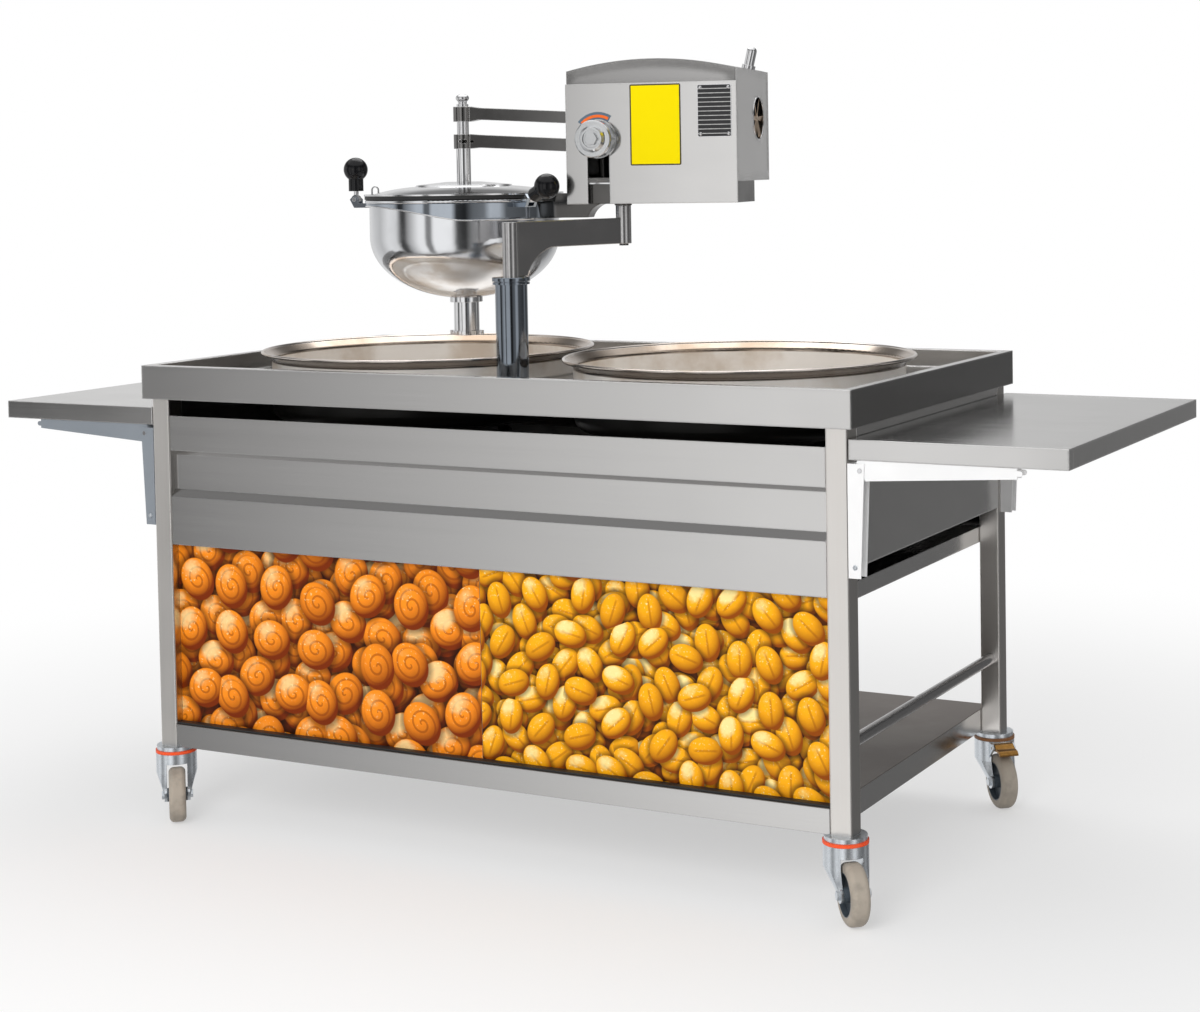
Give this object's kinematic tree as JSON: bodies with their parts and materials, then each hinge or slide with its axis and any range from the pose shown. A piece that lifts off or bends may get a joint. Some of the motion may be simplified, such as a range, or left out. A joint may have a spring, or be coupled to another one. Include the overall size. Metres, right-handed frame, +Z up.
{
  "type": "mini donut machine",
  "caption": "Wheeled steel frying cart with round pans, folding side shelves and a swinging motor head that drops dough rings from a lidded bowl.",
  "frame": {"origin": "on the floor under the middle of the cart's table", "axes": "+X to the right along the front, +Y from the front to the back, +Z up"},
  "size_m": [2.228, 0.8461, 1.4934],
  "materials": {
    "leg_steel": "satin",
    "sheet_steel": "brushed",
    "pan_steel": "heat-tinted",
    "burner_iron": "matt",
    "pipe_paint": "painted",
    "print": "printed",
    "bracket_paint": "painted",
    "zinc": "zinc plated",
    "seal": "satin",
    "tyre": "satin",
    "pedal_bronze": "bronze",
    "chrome": "polished",
    "cast_dark": "dark cast",
    "knob_metal": "turned",
    "fan_plastic": "matt",
    "gasket": "matt",
    "knob_black": "gloss"
  },
  "bodies": {
    "cart": {"leg_front_left": "leg_steel", "leg_front_right": "leg_steel", "leg_rear_left": "leg_steel", "leg_rear_right": "leg_steel", "tray": "sheet_steel", "pan_left": "pan_steel", "pan_right": "pan_steel", "burners": "burner_iron", "gas_pipe": "pipe_paint", "fascia": "sheet_steel", "rear_panel": "sheet_steel", "side_panel_left": "sheet_steel", "side_panel_right": "sheet_steel", "print_panel_left": "print", "print_panel_right": "print", "drip_tray": "sheet_steel", "lower_shelf": "sheet_steel", "mid_bars": "leg_steel", "bracket_channels": "bracket_paint", "bracket_pins": "zinc", "caster_sockets": "zinc", "caster_seals": "seal", "column": "chrome"},
    "left_shelf": {"shelf_left": "sheet_steel", "shelf_arms_left": "bracket_paint"},
    "right_shelf": {"shelf_right": "sheet_steel", "shelf_arms_right": "bracket_paint"},
    "fork_front_left": {"caster_fork_front_left": "zinc"},
    "wheel_front_left": {"caster_wheel_front_left": "tyre"},
    "fork_front_right": {"caster_fork_front_right": "zinc"},
    "wheel_front_right": {"caster_wheel_front_right": "tyre"},
    "fork_rear_left": {"caster_fork_rear_left": "zinc"},
    "wheel_rear_left": {"caster_wheel_rear_left": "tyre"},
    "pedal_left": {"brake_pedal_left": "pedal_bronze"},
    "fork_rear_right": {"caster_fork_rear_right": "zinc"},
    "wheel_rear_right": {"caster_wheel_rear_right": "tyre"},
    "pedal_right": {"brake_pedal_right": "pedal_bronze"},
    "arm": {"swing_arm": "chrome"},
    "head": {"head_base": "cast_dark", "front_plate": "sheet_steel", "head_cover": "sheet_steel", "gearbox": "cast_dark", "motor": "cast_dark", "head_handle": "chrome", "bowl": "chrome", "bowl_collar": "chrome", "gasket": "gasket", "nozzle": "chrome"},
    "crank": {"drive_crank": "cast_dark"},
    "cooling_fan": {"fan": "fan_plastic"},
    "dose": {"dose_knob": "knob_metal"},
    "piston": {"piston_arm": "chrome", "piston_rod": "chrome"},
    "cutter": {"cutter_arm": "chrome", "cutter_sleeve": "chrome"},
    "bowl_lid": {"lid": "chrome"},
    "left_lever": {"bowl_lever_left": "chrome", "lever_knob_left": "knob_black"},
    "right_lever": {"bowl_lever_right": "chrome", "lever_knob_right": "knob_black"}
  },
  "joints": [
    {"name": "shelf_left_fold", "type": "hinge", "parent": "cart", "child": "left_shelf", "pos_m": [-0.758, 0, 0.756], "axis": [0, -1, 0], "range_deg": [0, 90]},
    {"name": "shelf_right_fold", "type": "hinge", "parent": "cart", "child": "right_shelf", "pos_m": [0.758, 0, 0.756], "axis": [0, 1, 0], "range_deg": [0, 90]},
    {"name": "swivel_front_left", "type": "hinge", "parent": "cart", "child": "fork_front_left", "pos_m": [-0.716, -0.366, 0.136], "axis": [0, 0, 1], "continuous": true},
    {"name": "roll_front_left", "type": "hinge", "parent": "fork_front_left", "child": "wheel_front_left", "pos_m": [-0.69107, -0.39468, 0.0525], "axis": [0.7547, 0.6561, 0], "continuous": true},
    {"name": "swivel_front_right", "type": "hinge", "parent": "cart", "child": "fork_front_right", "pos_m": [0.716, -0.366, 0.136], "axis": [0, 0, 1], "continuous": true},
    {"name": "roll_front_right", "type": "hinge", "parent": "fork_front_right", "child": "wheel_front_right", "pos_m": [0.74093, -0.39468, 0.0525], "axis": [0.7547, 0.6561, 0], "continuous": true},
    {"name": "swivel_rear_left", "type": "hinge", "parent": "cart", "child": "fork_rear_left", "pos_m": [-0.716, 0.366, 0.136], "axis": [0, 0, 1], "continuous": true},
    {"name": "roll_rear_left", "type": "hinge", "parent": "fork_rear_left", "child": "wheel_rear_left", "pos_m": [-0.69107, 0.33732, 0.0525], "axis": [0.7547, 0.6561, 0], "continuous": true},
    {"name": "brake_left", "type": "hinge", "parent": "fork_rear_left", "child": "pedal_left", "pos_m": [-0.68582, 0.33128, 0.12], "axis": [0.7547, 0.6561, 0], "range_deg": [-12, 0]},
    {"name": "swivel_rear_right", "type": "hinge", "parent": "cart", "child": "fork_rear_right", "pos_m": [0.716, 0.366, 0.136], "axis": [0, 0, 1], "continuous": true},
    {"name": "roll_rear_right", "type": "hinge", "parent": "fork_rear_right", "child": "wheel_rear_right", "pos_m": [0.74093, 0.33732, 0.0525], "axis": [0.7547, 0.6561, 0], "continuous": true},
    {"name": "brake_right", "type": "hinge", "parent": "fork_rear_right", "child": "pedal_right", "pos_m": [0.74618, 0.33128, 0.12], "axis": [0.7547, 0.6561, 0], "range_deg": [-12, 0]},
    {"name": "arm_swing", "type": "hinge", "parent": "cart", "child": "arm", "pos_m": [0, -0.24, 1.09], "axis": [0, 0, 1], "range_deg": [-110, 70]},
    {"name": "head_turn", "type": "hinge", "parent": "arm", "child": "head", "pos_m": [0.07765, 0.04978, 1.15], "axis": [0, 0, 1], "range_deg": [-120, 20]},
    {"name": "crank_spin", "type": "hinge", "parent": "head", "child": "crank", "pos_m": [0.03968, 0.10816, 1.335], "axis": [0.9781, 0.2079, 0], "continuous": true},
    {"name": "fan_spin", "type": "hinge", "parent": "head", "child": "cooling_fan", "pos_m": [0.26691, 0.21269, 1.353], "axis": [0.9781, 0.2079, 0], "continuous": true},
    {"name": "dose_turn", "type": "hinge", "parent": "head", "child": "dose", "pos_m": [0.06078, -0.01515, 1.315], "axis": [0.2079, -0.9781, 0], "range_deg": [-60, 60]},
    {"name": "piston_stroke", "type": "slide", "parent": "head", "child": "piston", "axis": [0, 0, 1], "range_m": [0, 0.025]},
    {"name": "cutter_stroke", "type": "slide", "parent": "head", "child": "cutter", "axis": [0, 0, 1], "range_m": [0, 0.015]},
    {"name": "lid_lift", "type": "slide", "parent": "head", "child": "bowl_lid", "axis": [0, 0, 1], "range_m": [0, 0.025]},
    {"name": "lever_left", "type": "hinge", "parent": "head", "child": "left_lever", "pos_m": [-0.51493, -0.00973, 1.203], "axis": [0.2079, -0.9781, 0], "range_deg": [0, 70]},
    {"name": "lever_right", "type": "hinge", "parent": "head", "child": "right_lever", "pos_m": [-0.06849, -0.05665, 1.203], "axis": [0.4067, 0.9135, 0], "range_deg": [-68, 0]}
  ],
  "couplings": [
    {"joint": "fan_spin", "follows": "crank_spin", "ratio": 25}
  ]
}
